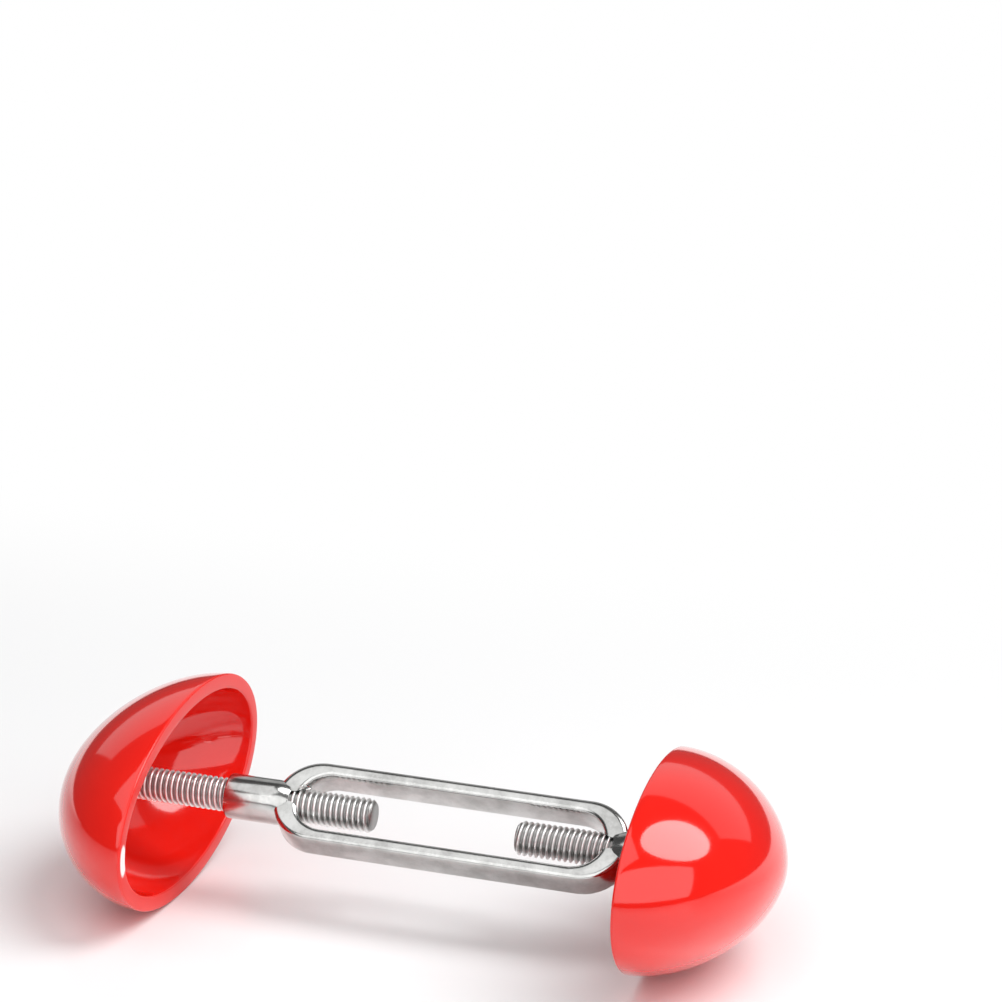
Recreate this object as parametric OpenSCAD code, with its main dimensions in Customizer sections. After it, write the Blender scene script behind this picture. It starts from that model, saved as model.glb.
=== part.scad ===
// Shoe stretcher: two domed plastic heads pushed apart by a turnbuckle.
// The long axis runs along X, the object lies on Z = 0 and is shown partly opened.

/* [Pressing heads] */
// Width of a head across the long axis
head_w = 51; // [40:0.2:70]
// Height of a head before it is turned
head_h = 28.2; // [24:0.2:40]
// Depth of a head from its open rim to the top of its dome
head_depth = 17.2; // [16:0.2:30]
// Fullness of the dome, where 2 is an ellipsoid and less is more pointed
dome_power = 1.8; // [1.5:0.1:2.5]
// Width of the flat rim
rim_w = 2.2; // [2:0.1:4]
// Straight edge between the flat rim and the dome
rim_skirt = 0.3; // [0.1:0.1:1]
// Thickness of the wall at the top of the dome
crown_wall = 2.4; // [2:0.1:4]
// Turn of the left head about the long axis, and of the right head the other way
head_turn = 4.8; // [0:0.2:10]

/* [Nut bosses inside the heads] */
// Diameter of the boss that holds the nut
boss_d = 11.2; // [10.6:0.2:14]
// Depth of the nut's front face below the face of the boss
nut_set = 0.2; // [0:0.1:1]
// Depth of the blind hole behind the nut for the end of the rod
tip_room = 1; // [0.6:0.1:2]
// Play between the rod's end and the bottom of that hole
tip_gap = 0.4; // [0.2:0.1:0.5]
// Play all round the nut in its pocket
pocket_play = 0.05; // [0.02:0.01:0.15]

/* [Nuts] */
// Distance between opposite flats of a nut
nut_af = 8; // [7.5:0.1:8.4]
// Thickness of a nut
nut_h = 4; // [3:0.1:5]
// Height of the chamfer on a nut's corners
nut_chamfer = 0.35; // [0.1:0.05:0.6]

/* [Threaded rods] */
// Diameter over the thread's crests
rod_d = 4.7; // [4:0.1:5]
// Distance between neighbouring threads
thread_pitch = 0.8; // [0.7:0.05:1]
// Depth of the thread
thread_depth = 0.42; // [0.3:0.02:0.5]
// Width of a thread's crest
crest_w = 0.14; // [0.08:0.02:0.2]
// Chamfer on a rod's ends
rod_chamfer = 0.5; // [0.3:0.1:0.8]
// Play between a rod and the holes that it screws through
thread_play = 0.05; // [0.02:0.01:0.1]
// Length of the left rod
left_rod_len = 41; // [36:0.2:46]
// Length of the right rod
right_rod_len = 33.6; // [30:0.2:38]

/* [Turnbuckle frame] */
// Length of the loop
loop_len = 49.6; // [44:0.2:60]
// Width of the loop
loop_w = 12.2; // [11:0.1:14]
// Height of the loop's bars
loop_h = 4.5; // [4:0.1:6]
// Width of each bar beside the window
bar_w = 1.8; // [1.3:0.1:2.5]
// Thickness of the loop's end walls beyond the window
end_wall = 3.2; // [2:0.1:4]
// Chamfer along the outer edges of the loop
loop_chamfer = 0.4; // [0.2:0.1:0.8]
// Length of each threaded boss beyond the loop
boss_len = 7.1; // [4:0.1:9]
// Diameter of the threaded bosses
frame_boss_d = 6.2; // [5.9:0.1:8]
// Radius of the fillet between a boss and the loop
boss_fillet = 0.3; // [0.2:0.1:2]
// Chamfer on the outer end of a boss
boss_chamfer = 0.3; // [0.1:0.05:0.5]
// Turn of the frame about the long axis
frame_turn = 38; // [0:1:90]

/* [Opening] */
// Distance from the frame's left end to the left head's rim
left_rim_gap = 5.6; // [2:0.2:12]
// Distance from the frame's right end to the right head's rim, below 0 inside the head
right_rim_gap = -3.3; // [-4:0.1:8]

/* [Hidden] */

round_fn = 96;
around = 64;
rings = 10;
hex_sides = 6;
overlap = 0.6;

inner_depth = head_depth - crown_wall;
tip_depth = inner_depth - tip_gap;
pocket_floor = inner_depth - tip_room;
boss_face = pocket_floor - nut_h - nut_set;
nut_r = nut_af / 2 / cos(180 / hex_sides);
pocket_r = (nut_af / 2 + pocket_play) / cos(180 / hex_sides);
rod_r = rod_d / 2;
thread_hole_r = rod_r + thread_play;
tip_hole_r = rod_r + 2 * thread_play;
window_w = loop_w - 2 * bar_w;
window_len = loop_len - 2 * end_wall;
frame_end = loop_len / 2 + boss_len;

left_rim_x = -frame_end - left_rim_gap;
right_rim_x = frame_end + right_rim_gap;
mid_x = (left_rim_x + right_rim_x) / 2;
lying_h = sqrt(pow(head_h / 2 * cos(head_turn), 2) + pow(head_w / 2 * sin(head_turn), 2));

// Size and place of a dome's section, where u runs from 0 at the widest one to 90 at the top
function section_size(u) = pow(cos(u), 2 / dome_power);
function section_x(u, widest, top_x) = widest + (top_x - widest) * pow(sin(u), 2 / dome_power);

// Points of a dome: rings of an ellipse that shrink towards the top, then the top itself
function dome_points(w, h, widest, top_x) = concat(
  [
    for (i = [0:rings - 1], j = [0:around - 1])
      let (u = 90 * i / rings, turn = 360 * j / around, s = section_size(u))
      [section_x(u, widest, top_x), s * w / 2 * cos(turn), s * h / 2 * sin(turn)]
  ],
  [[top_x, 0, 0]]
);

// Solid dome on a straight skirt, whose flat base, widest section and top lie at these X
module solid_dome(w, h, base, widest, top_x) {
  top = (rings + 1) * around;
  skirt_points = [
    for (j = [0:around - 1])
      let (turn = 360 * j / around)
      [base, w / 2 * cos(turn), h / 2 * sin(turn)]
  ];
  side_faces = [
    for (i = [0:rings - 1], j = [0:around - 1], half = [0, 1])
      let (
        a = i * around + j,
        b = i * around + (j + 1) % around,
        c = b + around,
        d = a + around
      )
      half == 0 ? [c, b, a] : [d, c, a]
  ];
  top_faces = [
    for (j = [0:around - 1])
      [top, rings * around + (j + 1) % around, rings * around + j]
  ];
  base_face = [for (j = [0:around - 1]) j];
  polyhedron(
    points = concat(skirt_points, dome_points(w, h, widest, top_x)),
    faces = concat(side_faces, top_faces, [base_face]),
    convexity = 2
  );
}

// Hollow inside a head, with the boss left standing in it
module cavity() {
  difference() {
    solid_dome(head_w - 2 * rim_w, head_h - 2 * rim_w, -overlap, rim_skirt, inner_depth);
    round_x(boss_d / 2, boss_face, head_depth);
  }
}

// Solid of revolution about the X axis, from points of distance along X and radius
module along_x(points) {
  rotate([0, 90, 0])
    rotate_extrude($fn = round_fn)
      polygon([for (p = points) [p[1], p[0]]]);
}

// Straight round bar or hole along X
module round_x(r, from, to) {
  translate([from, 0, 0])
    rotate([0, 90, 0])
      cylinder(r = r, h = to - from, $fn = round_fn);
}

// Six-sided prism along X with a flat side up
module hex_x(r, from, to) {
  translate([from, 0, 0])
    rotate([0, 90, 0])
      rotate([0, 0, 360 / hex_sides / 2])
        cylinder(r = r, h = to - from, $fn = hex_sides);
}

// One plastic head: dome, boss for the nut, hexagonal pocket and hole for the rod's end
module head() {
  color("red")
    difference() {
      solid_dome(head_w, head_h, 0, rim_skirt, head_depth);
      cavity();
      hex_x(pocket_r, boss_face - overlap, pocket_floor);
      round_x(tip_hole_r, pocket_floor - overlap, inner_depth);
    }
}

// Hex nut in a head, with chamfered corners
module nut() {
  back = pocket_floor;
  front = pocket_floor - nut_h;
  flat_r = nut_af / 2;
  color("silver")
    difference() {
      intersection() {
        hex_x(nut_r, front, back);
        along_x([
          [front, 0], [front, flat_r], [front + nut_chamfer, nut_r],
          [back - nut_chamfer, nut_r], [back, flat_r], [back, 0]
        ]);
      }
      round_x(thread_hole_r, front - overlap, back + overlap);
    }
}

// Outline of a rod: its thread is a row of rings, between two chamfered ends
function rod_outline(length) =
  let (
    root_r = rod_r - thread_depth,
    count = floor((length - 2 * rod_chamfer - crest_w) / thread_pitch),
    start = (length - count * thread_pitch) / 2,
    flank = (thread_pitch - 2 * crest_w) / 2
  )
  concat(
    [[0, 0], [0, rod_r - rod_chamfer], [rod_chamfer, rod_r]],
    [
      for (i = [0:count - 1], corner = [0:3])
        let (x = start + i * thread_pitch + crest_w / 2)
        corner == 0 ? [x, rod_r]
        : corner == 1 ? [x + flank, root_r]
        : corner == 2 ? [x + flank + crest_w, root_r]
        : [x + thread_pitch - crest_w, rod_r]
    ],
    [[length - rod_chamfer, rod_r], [length, rod_r - rod_chamfer], [length, 0]]
  );

// Threaded rod from its tip inside a head, at X = tip_depth, back towards the frame
module screw(length) {
  color("silver")
    translate([tip_depth - length, 0, 0])
      along_x(rod_outline(length));
}

// Bar of the loop along X between the centres of its round ends, with chamfered outer edges
module loop_bar() {
  y = loop_w / 2;
  z = loop_h / 2;
  c = loop_chamfer;
  straight = loop_len - loop_w;
  rotate([90, 0, 90])
    linear_extrude(height = straight, center = true)
      polygon([
        [-y, -z + c], [-y + c, -z], [y - c, -z], [y, -z + c],
        [y, z - c], [y - c, z], [-y + c, z], [-y, z - c]
      ]);
}

// Round end of the loop, a disc with chamfered edges
module loop_end() {
  y = loop_w / 2;
  z = loop_h / 2;
  c = loop_chamfer;
  rotate_extrude($fn = round_fn)
    polygon([[0, -z], [y - c, -z], [y, -z + c], [y, z - c], [y - c, z], [0, z]]);
}

// Window between the bars, with round ends
module window() {
  r = window_w / 2;
  straight = window_len - window_w;
  deep = frame_boss_d + loop_h;
  cube([straight, window_w, deep], center = true);
  for (side = [-1, 1])
    translate([side * straight / 2, 0, 0])
      cylinder(r = r, h = deep, center = true, $fn = round_fn);
}

// Threaded boss at the right end of the frame
module frame_boss() {
  r = frame_boss_d / 2;
  along_x([
    [window_len / 2, 0], [window_len / 2, r],
    [frame_end - boss_chamfer, r], [frame_end, r - boss_chamfer], [frame_end, 0]
  ]);
}

// Web that blends the right boss into the loop, hollowed by an arc on each side
module boss_web() {
  r = frame_boss_d / 2;
  f = boss_fillet;
  end_r = loop_w / 2;
  end_x = (loop_len - loop_w) / 2;
  arc_x = sqrt(pow(end_r + f, 2) - pow(r + f, 2));
  share = end_r / (end_r + f);
  difference() {
    linear_extrude(height = loop_h - 2 * loop_chamfer, center = true)
      polygon([
        [end_x, -r], [end_x + share * arc_x, -share * (r + f)], [end_x + arc_x, -r],
        [end_x + arc_x, r], [end_x + share * arc_x, share * (r + f)], [end_x, r]
      ]);
    for (side = [-1, 1])
      translate([end_x + arc_x, side * (r + f), 0])
        cylinder(r = f, h = 2 * loop_h, center = true, $fn = round_fn);
  }
}

module left_head() {
  on_axis(left_rim_x) rotate([head_turn, 0, 0]) mirror([1, 0, 0]) head();
}

module left_nut() {
  on_axis(left_rim_x) rotate([head_turn, 0, 0]) mirror([1, 0, 0]) nut();
}

module left_screw() {
  on_axis(left_rim_x) mirror([1, 0, 0]) screw(left_rod_len);
}

module turnbuckle_frame() {
  color("lightgray")
    on_axis(0)
      rotate([frame_turn, 0, 0])
        difference() {
          union() {
            loop_bar();
            for (side = [0, 1])
              mirror([side, 0, 0]) {
                translate([(loop_len - loop_w) / 2, 0, 0]) loop_end();
                frame_boss();
                boss_web();
              }
          }
          window();
          round_x(thread_hole_r, -frame_end - overlap, frame_end + overlap);
        }
}

module right_screw() {
  on_axis(right_rim_x) screw(right_rod_len);
}

module right_nut() {
  on_axis(right_rim_x) rotate([-head_turn, 0, 0]) nut();
}

module right_head() {
  on_axis(right_rim_x) rotate([-head_turn, 0, 0]) head();
}

// Puts a piece on the long axis at a distance x from the frame's middle
module on_axis(x) {
  translate([x - mid_x, 0, lying_h]) children();
}

left_head();
left_nut();
left_screw();
turnbuckle_frame();
right_screw();
right_nut();
right_head();
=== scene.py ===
"""A shoe stretcher, dressed for its picture: two red plastic domes pushed apart by a bright turnbuckle."""

from math import atan2, cos, hypot, pi, radians, sin, tau

import bmesh
import bpy
from mathutils import Matrix, Vector


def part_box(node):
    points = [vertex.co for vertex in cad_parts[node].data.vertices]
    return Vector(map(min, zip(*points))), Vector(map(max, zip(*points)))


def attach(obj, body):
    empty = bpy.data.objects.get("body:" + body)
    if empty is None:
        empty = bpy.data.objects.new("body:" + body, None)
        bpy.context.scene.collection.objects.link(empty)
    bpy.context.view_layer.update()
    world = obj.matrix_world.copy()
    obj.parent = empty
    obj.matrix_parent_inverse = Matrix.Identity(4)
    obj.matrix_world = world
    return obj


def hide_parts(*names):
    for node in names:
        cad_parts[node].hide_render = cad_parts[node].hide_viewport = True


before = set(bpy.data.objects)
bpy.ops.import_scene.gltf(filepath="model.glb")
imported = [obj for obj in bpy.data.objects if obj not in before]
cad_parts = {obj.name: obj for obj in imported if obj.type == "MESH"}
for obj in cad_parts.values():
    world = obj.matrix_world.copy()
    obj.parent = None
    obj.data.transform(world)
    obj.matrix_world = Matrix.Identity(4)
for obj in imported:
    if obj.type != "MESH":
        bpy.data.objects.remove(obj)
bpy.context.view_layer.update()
MM = 0.001

# The screw axis runs along X at the height of the frame's middle. Every piece is turned about it.
frame_low, frame_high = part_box("turnbuckle_frame")
axis_height = (frame_low.z + frame_high.z) / 2
frame_middle = (frame_low.x + frame_high.x) / 2


# The two threaded rods: steel rod, 4.7 mm over the crests, with a rolled thread of 0.8 mm pitch, cut to
# length, chamfered and zinc plated. The left one is right-handed and the right one left-handed.
rod_radius = 2.35 * MM
thread_pitch = 0.8 * MM
thread_depth = 0.42 * MM
crest_flat = 0.16
root_flat = 0.14
rod_chamfer = 0.5 * MM
steps_a_turn = 36
points_a_pitch = 12


def add_node(tree, kind, **settings):
    node = tree.nodes.new(kind)
    for name, value in settings.items():
        if hasattr(node, name):
            setattr(node, name, value)
        else:
            node.inputs[name.replace("_", " ")].default_value = value
    return node


def new_group(name, inputs, outputs):
    group = bpy.data.node_groups.new(name, "ShaderNodeTree")
    for socket, value in inputs.items():
        made = group.interface.new_socket(socket, in_out="INPUT", socket_type="NodeSocketFloat")
        made.default_value = value
    for socket in outputs:
        group.interface.new_socket(socket, in_out="OUTPUT", socket_type="NodeSocketFloat")
    return group, group.nodes.new("NodeGroupInput"), group.nodes.new("NodeGroupOutput")


def make_handling_wear():
    """Roughness that varies in soft patches, and shallow scratches for the bump."""
    group, given, result = new_group(
        "handling wear",
        {"Patch Scale": 60.0, "Base Roughness": 0.2, "Patch Amount": 0.08, "Scratch Scale": 900.0},
        ["Roughness", "Scratches"],
    )
    place = add_node(group, "ShaderNodeTexCoord")
    patches = add_node(group, "ShaderNodeTexNoise", Detail=4.0, Roughness=0.6)
    spread = add_node(group, "ShaderNodeMath", operation="SUBTRACT")
    spread.inputs[1].default_value = 0.5
    amount = add_node(group, "ShaderNodeMath", operation="MULTIPLY")
    total = add_node(group, "ShaderNodeMath", operation="ADD", use_clamp=True)
    stretched = add_node(group, "ShaderNodeMapping")
    stretched.inputs["Scale"].default_value = (0.12, 1.0, 1.0)
    stretched.inputs["Rotation"].default_value = (0.3, 0.5, 0.9)
    scratches = add_node(group, "ShaderNodeTexNoise", Detail=2.0, Roughness=0.5)
    sharpened = add_node(group, "ShaderNodeMapRange", clamp=True)
    sharpened.inputs["From Min"].default_value = 0.62
    sharpened.inputs["From Max"].default_value = 0.72
    link = group.links.new
    link(place.outputs["Object"], patches.inputs["Vector"])
    link(given.outputs["Patch Scale"], patches.inputs["Scale"])
    link(patches.outputs["Fac"], spread.inputs[0])
    link(spread.outputs[0], amount.inputs[0])
    link(given.outputs["Patch Amount"], amount.inputs[1])
    link(amount.outputs[0], total.inputs[0])
    link(given.outputs["Base Roughness"], total.inputs[1])
    link(total.outputs[0], result.inputs["Roughness"])
    link(place.outputs["Object"], stretched.inputs["Vector"])
    link(stretched.outputs["Vector"], scratches.inputs["Vector"])
    link(given.outputs["Scratch Scale"], scratches.inputs["Scale"])
    link(scratches.outputs["Fac"], sharpened.inputs["Value"])
    link(sharpened.outputs["Result"], result.inputs["Scratches"])
    return group


handling_wear = make_handling_wear()


def new_material(name):
    material = bpy.data.materials.new(name)
    material.use_nodes = True
    return material, material.node_tree, material.node_tree.nodes["Principled BSDF"]


def add_group(tree, group, **values):
    node = add_node(tree, "ShaderNodeGroup", node_tree=group)
    for name, value in values.items():
        node.inputs[name.replace("_", " ")].default_value = value
    return node


def rod_steel():
    material, tree, shader = new_material("rod steel")
    shader.inputs["Metallic"].default_value = 1.0
    place = add_node(tree, "ShaderNodeTexCoord")
    off_axis = add_node(tree, "ShaderNodeVectorMath", operation="SUBTRACT")
    off_axis.inputs[1].default_value = (0, 0, axis_height)
    across = add_node(tree, "ShaderNodeVectorMath", operation="MULTIPLY")
    across.inputs[1].default_value = (0, 1, 1)
    radius = add_node(tree, "ShaderNodeVectorMath", operation="LENGTH")
    depth = add_node(tree, "ShaderNodeMapRange", From_Min=rod_radius - thread_depth, From_Max=rod_radius)
    # Painted shade: the base colour turns dark towards the thread roots and light on the crests, so the
    # grooves look shaded.
    painted_root_shade = add_node(tree, "ShaderNodeValToRGB")
    painted_root_shade.color_ramp.elements[0].position = 0.1
    painted_root_shade.color_ramp.elements[0].color = (0.34, 0.335, 0.33, 1)
    painted_root_shade.color_ramp.elements[1].position = 0.75
    painted_root_shade.color_ramp.elements[1].color = (0.93, 0.935, 0.93, 1)
    tree.links.new(place.outputs["Object"], off_axis.inputs[0])
    tree.links.new(off_axis.outputs[0], across.inputs[0])
    tree.links.new(across.outputs[0], radius.inputs[0])
    tree.links.new(radius.outputs["Value"], depth.inputs["Value"])
    tree.links.new(depth.outputs["Result"], painted_root_shade.inputs["Fac"])
    tree.links.new(painted_root_shade.outputs["Color"], shader.inputs["Base Color"])
    wear = add_group(
        tree, handling_wear, Patch_Scale=300.0, Base_Roughness=0.36, Patch_Amount=0.14, Scratch_Scale=1500.0,
    )
    bump = add_node(tree, "ShaderNodeBump", Strength=0.06, Distance=0.02 * MM)
    tree.links.new(wear.outputs["Roughness"], shader.inputs["Roughness"])
    tree.links.new(wear.outputs["Scratches"], bump.inputs["Height"])
    tree.links.new(bump.outputs["Normal"], shader.inputs["Normal"])
    return material


def thread_drop(share):
    """How far the surface lies under the crest, from 0 to 1, at a share of one pitch."""
    from_crest = 1 - abs(2 * share - 1)
    slope = (from_crest - crest_flat) / (1 - crest_flat - root_flat)
    slope = min(max(slope, 0), 1)
    return slope * slope * (3 - 2 * slope)


def threaded_rod(low_x, high_x, hand):
    """One pitch of the thread's profile, swept along a helix, cut square at both ends and chamfered."""
    turns = int((high_x - low_x) / thread_pitch) + 4
    bm = bmesh.new()
    profile = []
    for i in range(points_a_pitch + 1):
        share = i / points_a_pitch
        x = low_x + (share - 2) * thread_pitch
        profile.append(bm.verts.new((x, 0, rod_radius - thread_depth * thread_drop(share))))
    edges = [bm.edges.new(pair) for pair in zip(profile, profile[1:])]
    bmesh.ops.spin(
        bm, geom=profile + edges, cent=(0, 0, 0), axis=(1, 0, 0), angle=hand * tau,
        dvec=(thread_pitch / steps_a_turn, 0, 0), steps=steps_a_turn, use_duplicate=False,
    )
    one_turn = bm.verts[:] + bm.edges[:] + bm.faces[:]
    for turn in range(1, turns):
        copied = bmesh.ops.duplicate(bm, geom=one_turn)["geom"]
        moved = [item for item in copied if isinstance(item, bmesh.types.BMVert)]
        bmesh.ops.translate(bm, verts=moved, vec=(turn * thread_pitch, 0, 0))
    bmesh.ops.remove_doubles(bm, verts=bm.verts, dist=0.002 * MM)
    for end_x, outward in ((low_x, -1), (high_x, 1)):
        bmesh.ops.bisect_plane(
            bm, geom=bm.verts[:] + bm.edges[:] + bm.faces[:], dist=1e-8,
            plane_co=(end_x, 0, 0), plane_no=(outward, 0, 0), clear_outer=True,
        )
    for vert in bm.verts:
        from_end = min(vert.co.x - low_x, high_x - vert.co.x)
        widest = rod_radius - rod_chamfer + from_end
        radius = hypot(vert.co.y, vert.co.z)
        if radius > widest:
            vert.co.yz *= widest / radius
    bmesh.ops.holes_fill(bm, edges=[e for e in bm.edges if e.is_boundary], sides=0)
    bmesh.ops.translate(bm, verts=bm.verts, vec=(0, 0, axis_height))
    bmesh.ops.recalc_face_normals(bm, faces=bm.faces)
    return bm


def finish_piece(name, bm, material, body, node, sharp=35):
    """Turns the mesh that was built into a piece that stands for a CAD node and moves with its body."""
    mesh = bpy.data.meshes.new(name)
    bm.to_mesh(mesh)
    bm.free()
    mesh.shade_smooth()
    mesh.set_sharp_from_angle(angle=radians(sharp))
    mesh.materials.append(material)
    piece = bpy.data.objects.new(name, mesh)
    bpy.context.scene.collection.objects.link(piece)
    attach(piece, body)
    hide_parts(node)
    return piece


rod_finish = rod_steel()
for side, hand in (("left", 1), ("right", -1)):
    rod_low, rod_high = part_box(f"{side}_screw")
    finish_piece(
        f"{side}_threaded_rod", threaded_rod(rod_low.x, rod_high.x, hand), rod_finish,
        f"{side}_screw", f"{side}_screw", sharp=50,
    )


# The hex nuts: plain plated steel nuts pressed into the bosses inside the heads, where they hold the rods.
# Their CAD shape is right, so they only get a finish.
def nut_steel():
    material, tree, shader = new_material("nut steel")
    shader.inputs["Base Color"].default_value = (0.66, 0.66, 0.64, 1)
    shader.inputs["Metallic"].default_value = 1.0
    wear = add_group(
        tree, handling_wear, Patch_Scale=500.0, Base_Roughness=0.32, Patch_Amount=0.2, Scratch_Scale=2000.0,
    )
    bump = add_node(tree, "ShaderNodeBump", Strength=0.15, Distance=0.02 * MM)
    tree.links.new(wear.outputs["Roughness"], shader.inputs["Roughness"])
    tree.links.new(wear.outputs["Scratches"], bump.inputs["Height"])
    tree.links.new(bump.outputs["Normal"], shader.inputs["Normal"])
    return material


nut_finish = nut_steel()
for side in ("left", "right"):
    nut_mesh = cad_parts[f"{side}_nut"].data
    nut_mesh.materials.clear()
    nut_mesh.materials.append(nut_finish)


# The heads: glossy red injection-moulded domes, hollow, with a flat rim and a boss inside for the nut. Both
# come from one mould, and each lies turned a little about the axis. The left one has a painted highlight, a
# near-white streak painted on its rim.
head_width = 50.94 * MM
head_height = 28.16 * MM
head_depth = 17.2 * MM
dome_power = 1.8
rim_width = 2.2 * MM
rim_skirt = 0.3 * MM
rim_round = 0.3 * MM
crown_wall = 2.4 * MM
head_turn = 4.8
boss_radius = 5.6 * MM
boss_round = 0.4 * MM
boss_foot = 0.9 * MM
nut_flats = 8.1 * MM
nut_height = 4.2 * MM
tip_room = 1.0 * MM
hole_play = 0.1 * MM
left_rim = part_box("left_head")[1].x
matt_depth = 0.4 * MM
# Place and size of the painted highlight, a near-white streak painted on the left rim's inner edge.
painted_highlight_place = (left_rim, -24.0 * MM, 12.6 * MM)
painted_highlight_size = (0.9, 1.0, 2.4)
head_sides = 144
dome_rings = 40
wall_rings = 15
wall_blend_rings = 6


def red_plastic():
    material, tree, shader = new_material("red plastic")
    shader.inputs["Coat Roughness"].default_value = 0.04
    shader.inputs["IOR"].default_value = 1.5
    wear = add_group(
        tree, handling_wear, Patch_Scale=70.0, Base_Roughness=0.1, Patch_Amount=0.06, Scratch_Scale=700.0,
    )
    place = add_node(tree, "ShaderNodeTexCoord")
    flow = add_node(tree, "ShaderNodeTexNoise", Scale=55.0, Detail=3.0, Roughness=0.55)
    tint = add_node(tree, "ShaderNodeValToRGB")
    tint.color_ramp.elements[0].position = 0.3
    tint.color_ramp.elements[0].color = (0.80, 0.009, 0.005, 1)
    tint.color_ramp.elements[1].position = 0.7
    tint.color_ramp.elements[1].color = (0.86, 0.014, 0.007, 1)
    ripple = add_node(tree, "ShaderNodeTexNoise", Scale=160.0, Detail=2.0, Roughness=0.4)
    waves = add_node(tree, "ShaderNodeBump", Strength=0.05, Distance=0.05 * MM)
    scuffs = add_node(tree, "ShaderNodeBump", Strength=0.03, Distance=0.02 * MM)
    link = tree.links.new
    link(place.outputs["Object"], flow.inputs["Vector"])
    link(place.outputs["Object"], ripple.inputs["Vector"])
    link(flow.outputs["Fac"], tint.inputs["Fac"])
    # Painted highlight: a small oval on the left rim is mixed to near white in the base colour and stands in
    # for a glint.
    off_highlight = add_node(tree, "ShaderNodeVectorMath", operation="SUBTRACT")
    off_highlight.inputs[1].default_value = painted_highlight_place
    highlight_shape = add_node(tree, "ShaderNodeVectorMath", operation="MULTIPLY")
    highlight_shape.inputs[1].default_value = [1 / (size * MM) for size in painted_highlight_size]
    highlight_reach = add_node(tree, "ShaderNodeVectorMath", operation="LENGTH")
    highlight_mask = add_node(tree, "ShaderNodeMapRange", From_Min=0.8, From_Max=1.0, To_Min=1.0, To_Max=0.0)
    highlight_mix = add_node(tree, "ShaderNodeMix", data_type="RGBA")
    highlight_mix.inputs[7].default_value = (0.95, 0.93, 0.92, 1)
    link(place.outputs["Object"], off_highlight.inputs[0])
    link(off_highlight.outputs[0], highlight_shape.inputs[0])
    link(highlight_shape.outputs[0], highlight_reach.inputs[0])
    link(highlight_reach.outputs["Value"], highlight_mask.inputs["Value"])
    link(highlight_mask.outputs["Result"], highlight_mix.inputs[0])
    link(tint.outputs["Color"], highlight_mix.inputs[6])
    link(highlight_mix.outputs[2], shader.inputs["Base Color"])
    split = add_node(tree, "ShaderNodeSeparateXYZ")
    depth = add_node(tree, "ShaderNodeMath", operation="ABSOLUTE")
    rim = add_node(tree, "ShaderNodeMapRange", From_Min=-left_rim, To_Min=1.0, To_Max=0.0)
    rim.inputs["From Max"].default_value = -left_rim + matt_depth
    shine = add_node(tree, "ShaderNodeMath", operation="MULTIPLY_ADD")
    shine.inputs[1].default_value = -0.5
    shine.inputs[2].default_value = 0.6
    matt = add_node(tree, "ShaderNodeMath", operation="MULTIPLY_ADD")
    matt.inputs[1].default_value = 0.3
    link(place.outputs["Object"], split.inputs[0])
    link(split.outputs["X"], depth.inputs[0])
    link(depth.outputs[0], rim.inputs["Value"])
    link(rim.outputs["Result"], shine.inputs[0])
    link(rim.outputs["Result"], matt.inputs[0])
    link(wear.outputs["Roughness"], matt.inputs[2])
    link(shine.outputs[0], shader.inputs["Coat Weight"])
    link(matt.outputs[0], shader.inputs["Roughness"])
    link(ripple.outputs["Fac"], waves.inputs["Height"])
    link(wear.outputs["Scratches"], scuffs.inputs["Height"])
    link(waves.outputs["Normal"], scuffs.inputs["Normal"])
    link(scuffs.outputs["Normal"], shader.inputs["Normal"])
    return material


def loft(bm, sections, sides):
    """Skin over a row of closed sections. Each section is a function that gives a point for an angle."""
    before = None
    for section in sections:
        circle = bmesh.ops.create_circle(bm, segments=sides, radius=1.0)["verts"]
        members = set(circle)
        loop = dict.fromkeys(
            edge for vert in circle for edge in vert.link_edges if edge.other_vert(vert) in members
        )
        for vert in circle:
            vert.co = section(atan2(vert.co.y, vert.co.x))
        if before:
            bmesh.ops.bridge_loops(bm, edges=before + list(loop))
        before = list(loop)


def close_ends(bm):
    """Fills the open ends of a lofted skin and turns every face outwards."""
    filled = bmesh.ops.holes_fill(bm, edges=[e for e in bm.edges if e.is_boundary], sides=0)["faces"]
    bmesh.ops.poke(bm, faces=filled)
    bmesh.ops.recalc_face_normals(bm, faces=bm.faces)


def oval(x, half_y, half_z):
    return lambda turn: Vector((x, half_y * cos(turn), half_z * sin(turn)))


def hexagon(x, flats):
    def point(turn):
        radius = flats / 2 / cos(turn % (pi / 3) - pi / 6)
        return Vector((x, radius * cos(turn), radius * sin(turn)))
    return point


def quarter(steps, first=0):
    return [pi / 2 * i / steps for i in range(first, steps + 1)]


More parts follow.
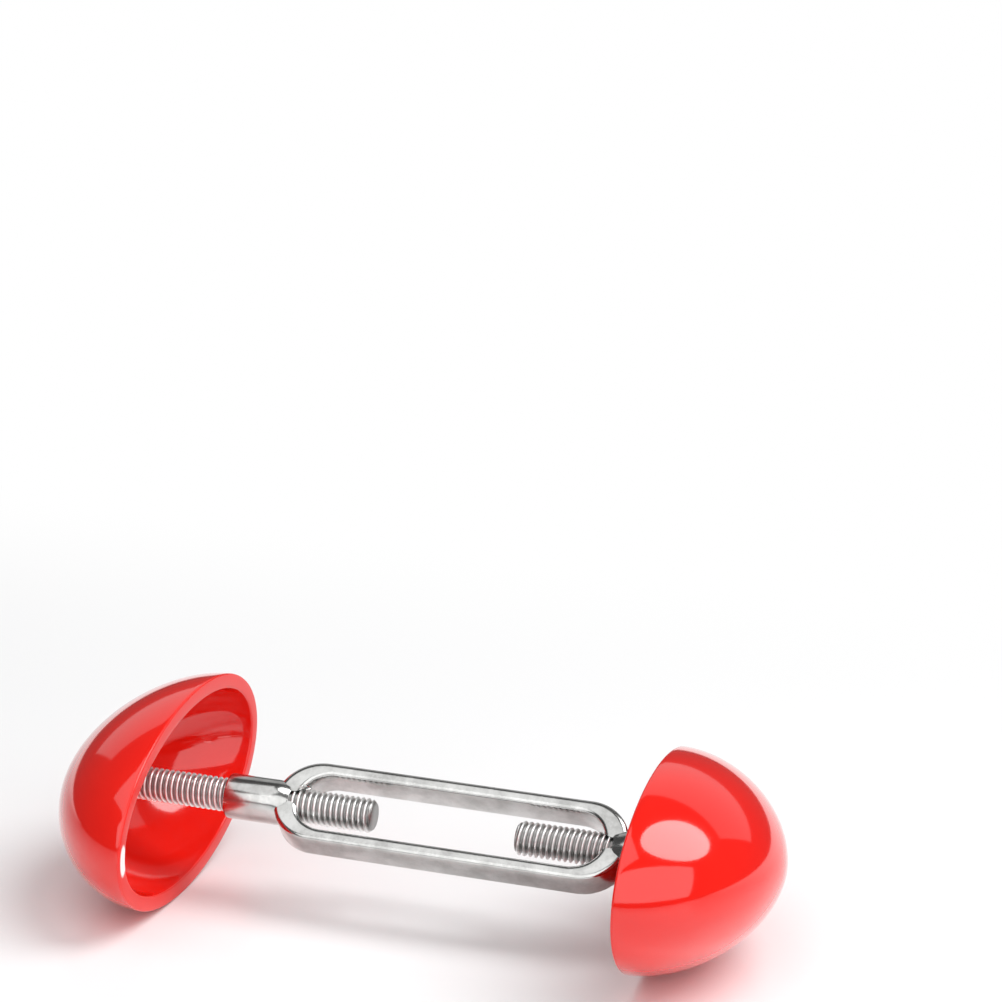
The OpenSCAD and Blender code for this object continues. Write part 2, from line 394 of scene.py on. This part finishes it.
def head_sections():
    """From the dome's top, round the rim, over the inner wall and the boss to the hole behind the nut."""
    half_y, half_z = head_width / 2, head_height / 2
    inner_y, inner_z = half_y - rim_width, half_z - rim_width
    inner_depth = head_depth - crown_wall
    pocket_floor = inner_depth - tip_room
    boss_face = pocket_floor - nut_height
    power = 2 / dome_power

    def inner_wall(y, z):
        out = min(hypot(y / inner_y, z / inner_z), 1)
        return rim_skirt + (inner_depth - rim_skirt) * (1 - out**dome_power) ** (1 / dome_power)

    def on_inner_wall(share, towards_boss):
        def point(turn):
            y = inner_y * share * cos(turn)
            z = inner_z * share * sin(turn)
            y += (foot_radius * cos(turn) - y) * towards_boss
            z += (foot_radius * sin(turn) - z) * towards_boss
            return Vector((inner_wall(y, z), y, z))
        return point

    def boss_foot_curve(bend):
        def point(turn):
            y, z = foot_radius * cos(turn), foot_radius * sin(turn)
            radius = boss_radius + boss_foot * (1 - sin(bend))
            x = inner_wall(y, z) - boss_foot * (1 - cos(bend))
            return Vector((x, radius * cos(turn), radius * sin(turn)))
        return point

    foot_radius = boss_radius + boss_foot
    sections = []
    for i in range(dome_rings):
        bend = pi / 2 * (1 - (i + 0.35) / (dome_rings + 0.35))
        share = cos(bend) ** power
        x = rim_skirt + (head_depth - rim_skirt) * sin(bend) ** power
        sections.append(oval(x, half_y * share, half_z * share))
    for bend in quarter(4):
        inset = rim_round * (1 - cos(bend))
        sections.append(oval(rim_round * (1 - sin(bend)), half_y - inset, half_z - inset))
    for bend in quarter(4):
        inset = rim_width - rim_round * (1 - sin(bend))
        sections.append(oval(rim_round * (1 - cos(bend)), half_y - inset, half_z - inset))
    last_share = 0.64
    last_bend = pi / 2 * 0.55
    for i in range(1, wall_rings + 1):
        share = cos(last_bend * i / wall_rings) ** power
        if share > last_share:
            sections.append(on_inner_wall(share, 0))
    sections += [on_inner_wall(last_share, i / wall_blend_rings) for i in range(wall_blend_rings + 1)]
    sections += [boss_foot_curve(bend) for bend in quarter(5, 1)]
    for bend in quarter(3):
        radius = boss_radius - boss_round * (1 - cos(bend))
        sections.append(oval(boss_face + boss_round * (1 - sin(bend)), radius, radius))
    sections.append(hexagon(boss_face, nut_flats))
    sections.append(hexagon(pocket_floor, nut_flats))
    hole = rod_radius + hole_play
    sections.append(oval(pocket_floor, hole, hole))
    sections.append(oval(inner_depth, hole, hole))
    return sections


head_plastic = red_plastic()
for side, direction in (("left", -1), ("right", 1)):
    head_low, head_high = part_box(f"{side}_head")
    rim_x = head_high.x if direction < 0 else head_low.x
    bm = bmesh.new()
    loft(bm, head_sections(), head_sides)
    close_ends(bm)
    turned = Matrix.Rotation(radians(-direction * head_turn), 4, "X")
    mirrored = Matrix.Scale(direction, 4, (1, 0, 0))
    bm.transform(Matrix.Translation((rim_x, 0, axis_height)) @ turned @ mirrored)
    bmesh.ops.recalc_face_normals(bm, faces=bm.faces)
    finish_piece(
        f"{side}_domed_head", bm, head_plastic, f"{side}_head", f"{side}_head",
    )


# The turnbuckle frame: one zinc die casting, plated bright. Its long loop has upright sides, slightly crowned
# bars and a window for the rods' ends, and each end runs out into a round boss that is bored for its rod.
loop_length = 49.6 * MM
loop_width = 12.2 * MM
loop_height = 4.5 * MM
bar_width = 1.8 * MM
end_wall = 3.2 * MM
crown_insets = (0.0, 0.05, 0.2, 0.5, 0.8)
crown_drops = (0.45, 0.29, 0.15, 0.04, 0.0)
boss_end = (frame_high.x - frame_low.x) / 2
frame_boss_radius = 3.1 * MM
frame_turn = 38
boss_bed = 0.05 * MM
boss_blend = 0.4 * MM
boss_blend_rings = 8
boss_root_inset = 0.1 * MM
boss_edge = 0.3 * MM
boss_sides = 72
thread_hole = 2.4 * MM
bore_sink = 0.2 * MM
past_boss = 1 * MM
loop_steps = 24
curl_radius = 0.17 * MM
curl_bend = 0.6 * MM
curl_sweep = -250
curl_stretch = (1.25, 0.9, 1, 1)
curl_off_wall = 0.72 * MM
curl_height = 2.8 * MM
curl_tilt = -33


def make_cast_skin():
    """A mask of soft blotches and a height of small waves and pits."""
    group, given, result = new_group(
        "cast skin",
        {"Blotch Scale": 250.0, "Pit Scale": 1400.0},
        ["Blotches", "Height"],
    )
    place = add_node(group, "ShaderNodeTexCoord")
    blotches = add_node(group, "ShaderNodeTexNoise", Detail=5.0, Roughness=0.65)
    waves = add_node(group, "ShaderNodeTexNoise", Detail=2.0, Roughness=0.5)
    pits = add_node(group, "ShaderNodeTexVoronoi", feature="F1")
    pit_edge = add_node(group, "ShaderNodeMapRange", clamp=True)
    pit_edge.inputs["From Min"].default_value = 0.05
    pit_edge.inputs["From Max"].default_value = 0.30
    height = add_node(group, "ShaderNodeMath", operation="MULTIPLY_ADD")
    height.inputs[1].default_value = 0.35
    link = group.links.new
    for texture in (blotches, waves, pits):
        link(place.outputs["Object"], texture.inputs["Vector"])
    link(given.outputs["Blotch Scale"], blotches.inputs["Scale"])
    link(given.outputs["Blotch Scale"], waves.inputs["Scale"])
    link(given.outputs["Pit Scale"], pits.inputs["Scale"])
    link(blotches.outputs["Fac"], result.inputs["Blotches"])
    link(pits.outputs["Distance"], pit_edge.inputs["Value"])
    link(pit_edge.outputs["Result"], height.inputs[0])
    link(waves.outputs["Fac"], height.inputs[2])
    link(height.outputs[0], result.inputs["Height"])
    return group


cast_skin = make_cast_skin()


def cast_zinc():
    material, tree, shader = new_material("cast zinc")
    shader.inputs["Metallic"].default_value = 1.0
    skin = add_group(tree, cast_skin, Blotch_Scale=260.0, Pit_Scale=1500.0)
    wear = add_group(
        tree, handling_wear, Patch_Scale=220.0, Base_Roughness=0.17, Patch_Amount=0.12, Scratch_Scale=1200.0,
    )
    tint = add_node(tree, "ShaderNodeValToRGB")
    tint.color_ramp.elements[0].position = 0.35
    tint.color_ramp.elements[0].color = (0.45, 0.45, 0.44, 1)
    tint.color_ramp.elements[1].position = 0.62
    tint.color_ramp.elements[1].color = (0.63, 0.63, 0.62, 1)
    rough = add_node(tree, "ShaderNodeBump", Strength=0.25, Distance=0.03 * MM)
    fine = add_node(tree, "ShaderNodeBump", Strength=0.08, Distance=0.02 * MM)
    link = tree.links.new
    link(skin.outputs["Blotches"], tint.inputs["Fac"])
    link(tint.outputs["Color"], shader.inputs["Base Color"])
    link(wear.outputs["Roughness"], shader.inputs["Roughness"])
    link(skin.outputs["Height"], rough.inputs["Height"])
    link(wear.outputs["Scratches"], fine.inputs["Height"])
    link(rough.outputs["Normal"], fine.inputs["Normal"])
    link(fine.outputs["Normal"], shader.inputs["Normal"])
    return material


def straight(bm, tip, x, y):
    """Draws a straight edge from tip and gives the new tip."""
    new_tip = bmesh.ops.extrude_vert_indiv(bm, verts=[tip])["verts"][0]
    new_tip.co.xy = (x, y)
    return new_tip


def arc(bm, tip, centre, angle, steps):
    """Draws an arc from tip about a centre and gives the new tip."""
    made = bmesh.ops.spin(
        bm, geom=[tip], cent=(*centre, tip.co.z), axis=(0, 0, 1), angle=angle, steps=steps,
        use_duplicate=False,
    )
    return next(item for item in made["geom_last"] if isinstance(item, bmesh.types.BMVert))


def closed_outline(bm, height, draw):
    """Draws a quarter of an outline, mirrors it to both sides and gives all its edges."""
    known_verts, known_edges = set(bm.verts), set(bm.edges)
    last = draw(bm, height)
    end_x = last.co.x
    for axis in ("X", "Y"):
        geom = [v for v in bm.verts if v not in known_verts] + [e for e in bm.edges if e not in known_edges]
        bmesh.ops.mirror(bm, geom=geom, axis=axis, merge_dist=1e-6)
    for sign in (-1, 1):
        ends = [v for v in bm.verts if v not in known_verts and abs(v.co.x - sign * end_x) < 1e-7]
        bm.edges.new(sorted(ends, key=lambda v: abs(v.co.y))[:2])
    return [e for e in bm.edges if e not in known_edges]


def round_quarter(radius, straight_x):
    """A quarter of an outline with round ends. Its arc stops half a step short of the tip."""
    def draw(bm, height):
        tip = straight(bm, bm.verts.new((0, radius, height)), straight_x, radius)
        return arc(bm, tip, (straight_x, 0), -pi / 2 * loop_steps / (loop_steps + 0.5), loop_steps)
    return draw


def casting_loop():
    """The loop: outlines from the outer side over the top, down the window and back underneath."""
    bm = bmesh.new()
    crown = [(inset * MM, loop_height / 2 - drop * MM) for inset, drop in zip(crown_insets, crown_drops)]
    outer_radius = loop_width / 2
    outer_x = loop_length / 2 - outer_radius
    window_radius = outer_radius - bar_width
    window_x = loop_length / 2 - end_wall - window_radius
    plan = [(height, round_quarter(outer_radius - inset, outer_x)) for inset, height in crown]
    plan += [(height, round_quarter(window_radius + inset, window_x)) for inset, height in reversed(crown)]
    plan += [(-height, draw) for height, draw in reversed(plan)]
    loops = [closed_outline(bm, height, draw) for height, draw in plan]
    for near, far in zip(loops, loops[1:] + loops[:1]):
        heights = {round(edge.verts[0].co.z, 9) for edge in near[:1] + far[:1]}
        if len(heights) > 1:
            bmesh.ops.bridge_loops(bm, edges=near + far)
        else:
            bmesh.ops.triangle_fill(bm, edges=near + far, use_beauty=True)
    bmesh.ops.recalc_face_normals(bm, faces=bm.faces)
    return bm


def casting_boss():
    """The right boss, flattened at its root so that it grows out of the loop's end wall."""
    bm = bmesh.new()
    root = loop_length / 2 - end_wall + boss_bed
    full = loop_length / 2 + boss_blend
    root_half_z = loop_height / 2 - boss_root_inset
    sections = []
    for i in range(boss_blend_rings + 1):
        share = i / boss_blend_rings
        swell = share * share * (3 - 2 * share)
        half_y = frame_boss_radius - boss_root_inset * (1 - swell)
        half_z = root_half_z + (frame_boss_radius - root_half_z) * swell
        sections.append(oval(root + (full - root) * share, half_y, half_z))
    for bend in quarter(4):
        radius = frame_boss_radius - boss_edge * (1 - cos(bend))
        sections.append(oval(boss_end - boss_edge * (1 - sin(bend)), radius, radius))
    loft(bm, sections, boss_sides)
    close_ends(bm)
    return bm


def bore_cutter():
    """The hole through the right boss, with a countersink at its outer end."""
    bm = bmesh.new()
    inside = loop_length / 2 - 2 * end_wall
    mouth = thread_hole + bore_sink
    radii = [
        (inside, thread_hole), (boss_end - bore_sink, thread_hole),
        (boss_end, mouth), (boss_end + past_boss, mouth),
    ]
    loft(bm, [oval(x, radius, radius) for x, radius in radii], boss_sides)
    close_ends(bm)
    return bm


def plain_object(name, bm):
    mesh = bpy.data.meshes.new(name)
    bm.to_mesh(mesh)
    bm.free()
    made = bpy.data.objects.new(name, mesh)
    bpy.context.scene.collection.objects.link(made)
    return made


def mirrored_copy(build):
    bm = build()
    bm.transform(Matrix.Scale(-1, 4, (1, 0, 0)))
    bmesh.ops.recalc_face_normals(bm, faces=bm.faces)
    return bm


def add_flash_curl(bm):
    """A curl of flash left standing at the window's left end, on top and a little to the back."""
    before = set(bm.verts)
    start = Matrix.Translation((-curl_bend, 0, 0)) @ Matrix.Rotation(pi / 2, 4, "X")
    tip = bmesh.ops.create_circle(bm, segments=12, radius=curl_radius, matrix=start)["verts"]
    rim = {edge for vert in tip for edge in vert.link_edges}
    bmesh.ops.spin(
        bm, geom=tip + list(rim), cent=(0, 0, 0), axis=(0, 0, 1), angle=radians(curl_sweep), steps=20,
        use_duplicate=False,
    )
    curl = [vert for vert in bm.verts if vert not in before]
    edges = {edge for vert in curl for edge in vert.link_edges if edge.is_boundary}
    bmesh.ops.holes_fill(bm, edges=list(edges), sides=0)
    off_middle = -loop_length / 2 + end_wall + curl_off_wall
    stretched = Matrix.Translation((off_middle, 0, curl_height)) @ Matrix.Diagonal(curl_stretch)
    bmesh.ops.transform(bm, matrix=Matrix.Rotation(radians(curl_tilt), 4, "X") @ stretched, verts=curl)
    bmesh.ops.recalc_face_normals(bm, faces=bm.faces)


def turnbuckle_casting():
    """Joins the loop and the bosses and bores them, then lays the casting on the axis."""
    body = plain_object("casting", casting_loop())
    steps = [
        ("UNION", casting_boss()), ("UNION", mirrored_copy(casting_boss)),
        ("DIFFERENCE", bore_cutter()), ("DIFFERENCE", mirrored_copy(bore_cutter)),
    ]
    tools = []
    for operation, shape in steps:
        tool = plain_object("tool", shape)
        join = body.modifiers.new(operation, "BOOLEAN")
        join.operation = operation
        join.solver = "EXACT"
        join.object = tool
        tools.append(tool)
    bpy.context.view_layer.update()
    finished = body.evaluated_get(bpy.context.evaluated_depsgraph_get())
    bm = bmesh.new()
    bm.from_mesh(finished.to_mesh())
    finished.to_mesh_clear()
    for thing in [body, *tools]:
        bpy.data.objects.remove(thing)
    bmesh.ops.remove_doubles(bm, verts=bm.verts, dist=0.004 * MM)
    add_flash_curl(bm)
    turned = Matrix.Rotation(radians(frame_turn), 4, "X")
    bm.transform(Matrix.Translation((frame_middle, 0, axis_height)) @ turned)
    return bm


finish_piece(
    "turnbuckle_casting", turnbuckle_casting(), cast_zinc(), "frame", "turnbuckle_frame",
    sharp=30,
)


# The stage: a glossy white table top that runs far back, in a dim room. Behind the part it turns plain white
# for the camera and in reflections, and lights nothing.
white_from = 10 * MM
white_full = 180 * MM
table_half_width = 6.0


def table_top():
    material, tree, shader = new_material("table top")
    place = add_node(tree, "ShaderNodeTexCoord")
    split = add_node(tree, "ShaderNodeSeparateXYZ")
    tree.links.new(place.outputs["Object"], split.inputs[0])
    far = add_node(
        tree, "ShaderNodeMapRange", interpolation_type="SMOOTHSTEP", From_Min=white_from, From_Max=white_full,
    )
    tree.links.new(split.outputs["Y"], far.inputs["Value"])
    ray = add_node(tree, "ShaderNodeLightPath")
    seen = ray.outputs["Is Camera Ray"]
    for kind in ("Is Glossy Ray", "Is Transmission Ray"):
        either = add_node(tree, "ShaderNodeMath", operation="MAXIMUM")
        tree.links.new(seen, either.inputs[0])
        tree.links.new(ray.outputs[kind], either.inputs[1])
        seen = either.outputs[0]
    share = add_node(tree, "ShaderNodeMath", operation="MULTIPLY")
    tree.links.new(seen, share.inputs[0])
    tree.links.new(far.outputs["Result"], share.inputs[1])
    white = add_node(tree, "ShaderNodeEmission", Color=(1, 1, 1, 1), Strength=1.0)
    mix = add_node(tree, "ShaderNodeMixShader")
    tree.links.new(share.outputs[0], mix.inputs[0])
    tree.links.new(shader.outputs[0], mix.inputs[1])
    tree.links.new(white.outputs[0], mix.inputs[2])
    tree.links.new(mix.outputs[0], tree.nodes["Material Output"].inputs["Surface"])
    shader.inputs["Base Color"].default_value = (0.97, 0.97, 0.975, 1)
    shader.inputs["Roughness"].default_value = 0.24
    shader.inputs["Specular IOR Level"].default_value = 0.25
    bm = bmesh.new()
    bmesh.ops.create_grid(bm, x_segments=1, y_segments=1, size=table_half_width)
    mesh = bpy.data.meshes.new("table_top")
    bm.to_mesh(mesh)
    bm.free()
    mesh.materials.append(material)
    table = bpy.data.objects.new("table_top", mesh)
    bpy.context.scene.collection.objects.link(table)


table_top()

world = bpy.data.worlds.new("dim room")
bpy.context.scene.world = world
world.use_nodes = True
room = world.node_tree.nodes["Background"]
room.inputs["Color"].default_value = (1, 1, 1, 1)
room.inputs["Strength"].default_value = 0.09


# The lamps: four soft boxes, all mirrored by the domes. The big one behind and above makes the broad pale
# bands, the one on the right the brightest spot, and the ones in front and overhead the fainter patches.
def soft_box(name, width, height, azimuth, elevation, distance, brightness, disc=False):
    """Faces the part's middle, from a direction in degrees that counts from the part's front."""
    lamp = bpy.data.lights.new(name, "AREA")
    lamp.shape = "ELLIPSE" if disc else "RECTANGLE"
    lamp.size, lamp.size_y = width, height
    lamp.energy = brightness * pi * width * height * (pi / 4 if disc else 1)
    light = bpy.data.objects.new(name, lamp)
    bpy.context.scene.collection.objects.link(light)
    az, el = radians(azimuth), radians(elevation)
    towards = Vector((sin(az) * cos(el), -cos(az) * cos(el), sin(el)))
    light.location = Vector((0, 0, axis_height)) + towards * distance
    light.rotation_euler = towards.to_track_quat("Z", "Y").to_euler()


soft_box("back soft box", 3.2, 0.78, 187, 34, 1.5, 0.5)
soft_box("side soft box", 0.50, 0.73, 111, 58, 0.8, 5.2, disc=True)
soft_box("front soft box", 2.65, 0.93, 28, 33, 1.0, 1.5)
soft_box("top soft box", 0.80, 0.80, -48, 68, 1.0, 1.15)


# The camera: the photograph's viewing angle, found from the ovals of the heads and the outline of the frame.
view_azimuth = 15.74
view_elevation = 15.23
view_roll = 2.44
view_distance = 0.411
view_aim = Vector((5.91, 12.74, 56.95)) * MM
focal_share = 3043 / 1002

camera_data = bpy.data.cameras.new("camera")
camera = bpy.data.objects.new("camera", camera_data)
bpy.context.scene.collection.objects.link(camera)
bpy.context.scene.camera = camera
camera_data.sensor_width = 36
camera_data.lens = camera_data.sensor_width * focal_share
camera_data.clip_start = 0.01
az, el = radians(view_azimuth), radians(view_elevation)
back = Vector((sin(az) * cos(el), -cos(az) * cos(el), sin(el)))
right = Vector((cos(az), sin(az), 0))
up = back.cross(right)
turned = Matrix((right, up, back)).transposed().to_4x4() @ Matrix.Rotation(radians(view_roll), 4, "Z")
camera.matrix_world = Matrix.Translation(view_aim + back * view_distance) @ turned

bpy.context.scene.view_settings.view_transform = "Standard"
